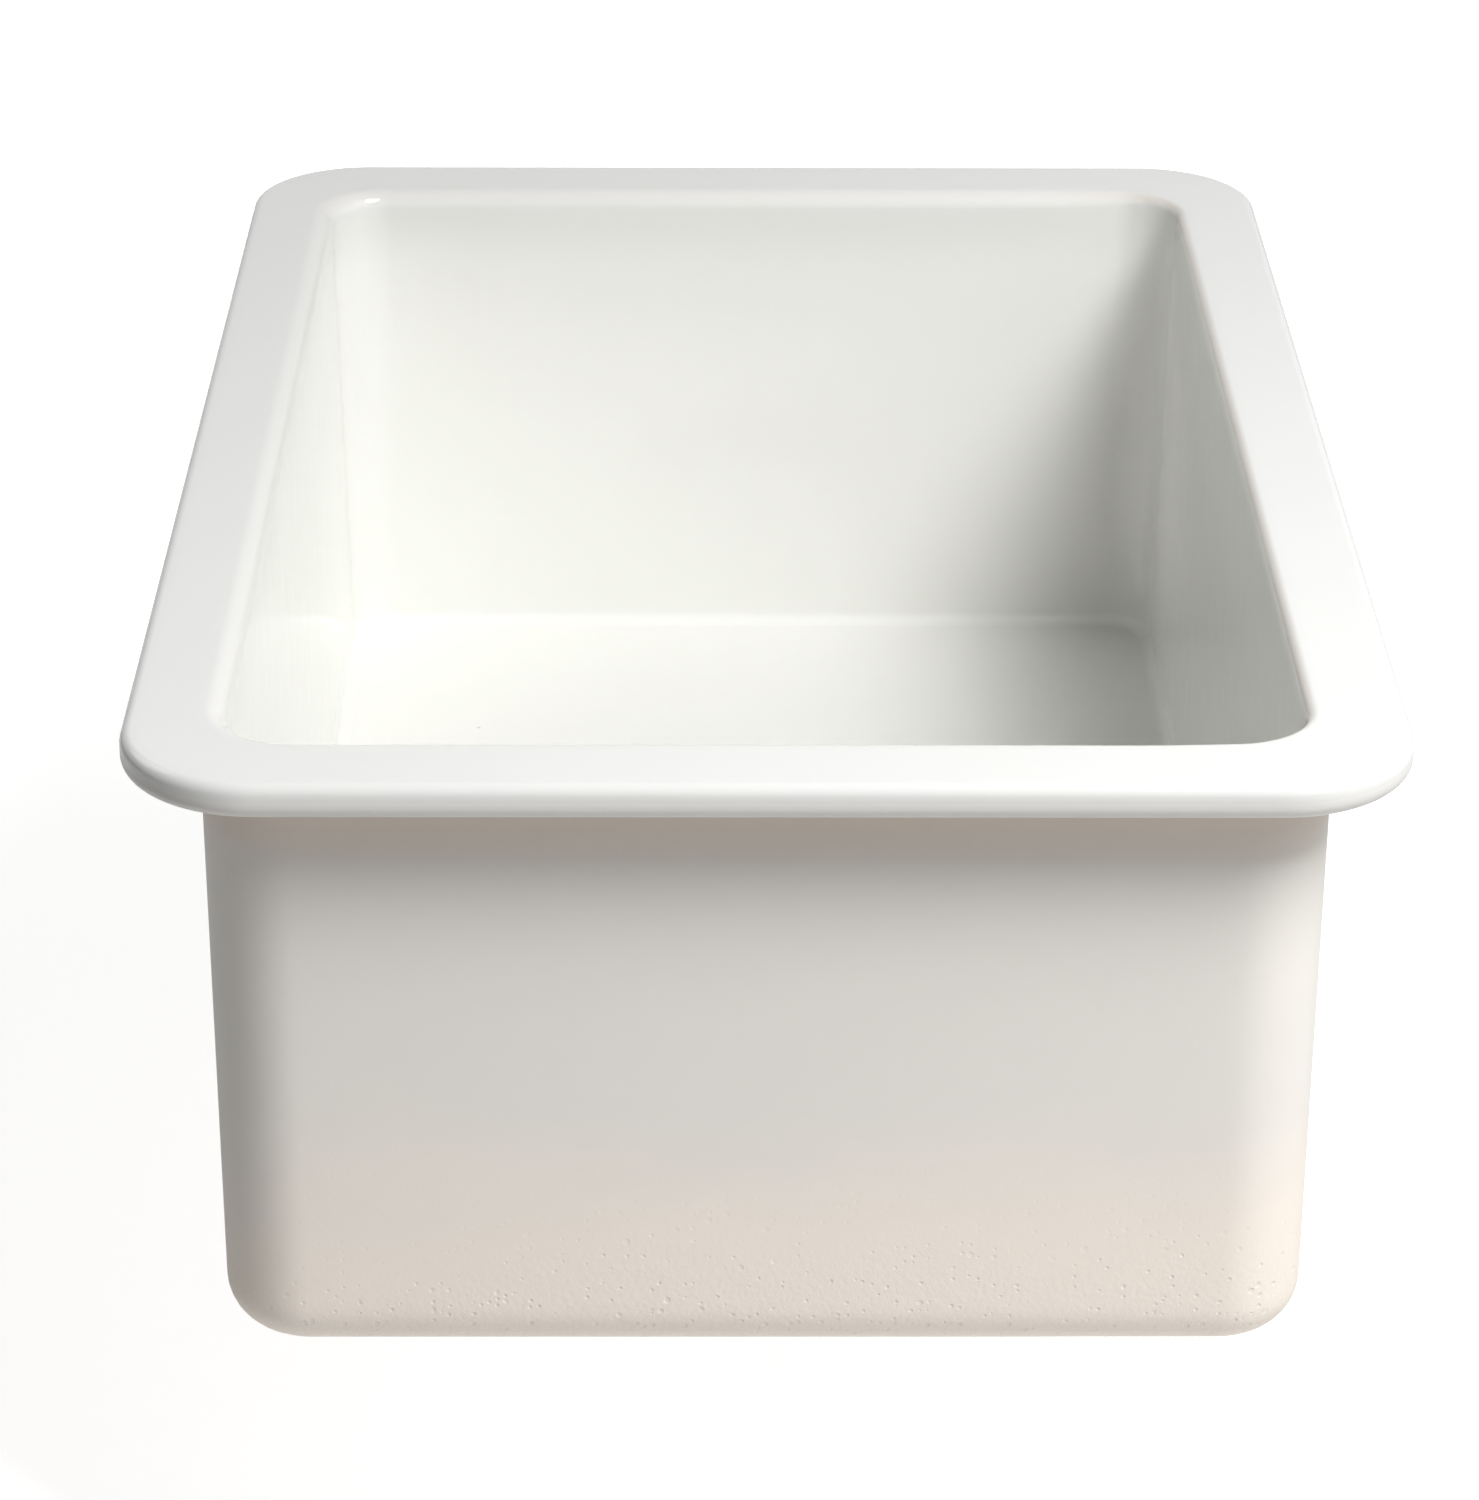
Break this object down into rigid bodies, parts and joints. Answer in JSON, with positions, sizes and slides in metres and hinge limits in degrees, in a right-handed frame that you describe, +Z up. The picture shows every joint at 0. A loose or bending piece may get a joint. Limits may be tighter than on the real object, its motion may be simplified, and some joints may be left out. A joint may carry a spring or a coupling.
{
  "type": "undermount kitchen sink",
  "caption": "White fireclay kitchen sink bowl with a flat undermount rim and a basket strainer waste whose basket lifts out and whose stopper opens.",
  "frame": {"origin": "centre of the rim's top face, on the drain's axis", "axes": "+Z up out of the bowl, +Y along the bowl's long side, X across the bowl"},
  "size_m": [0.4634, 0.6794, 0.4064],
  "materials": {
    "glazed_fireclay": "glossy white glaze, bare clay at the foot",
    "putty": "soft, matte",
    "strainer_steel": "brushed stainless steel",
    "basket_steel": "polished stainless steel",
    "cast_metal": "cast and turned, dull",
    "chrome": "bright chrome plate",
    "black_rubber": "matte rubber",
    "fibre": "pressed fibre",
    "white_seal": "soft white plastic",
    "spring_steel": "spring steel"
  },
  "bodies": {
    "sink": {"sink_bowl": "glazed_fireclay", "flange_putty": "putty", "strainer_body": "strainer_steel", "base_gasket": "black_rubber", "friction_washer": "fibre", "locknut": "cast_metal", "outlet_nipple": "cast_metal", "tailpiece_washer": "white_seal", "coupling_nut": "chrome", "tailpiece": "chrome"},
    "basket": {"basket": "basket_steel", "guide_bush": "cast_metal", "guide_nut": "cast_metal", "grip_clip": "spring_steel"},
    "stem": {"stem": "basket_steel", "lift_knob": "chrome", "stopper_plate": "basket_steel", "stopper": "black_rubber", "retaining_ring": "spring_steel"}
  },
  "joints": [
    {"name": "basket_lift", "type": "slide", "parent": "sink", "child": "basket", "axis": [0, 0, 1], "range_m": [0, 0.3]},
    {"name": "stopper_lift", "type": "slide", "parent": "basket", "child": "stem", "axis": [0, 0, 1], "range_m": [0, 0.008]}
  ]
}
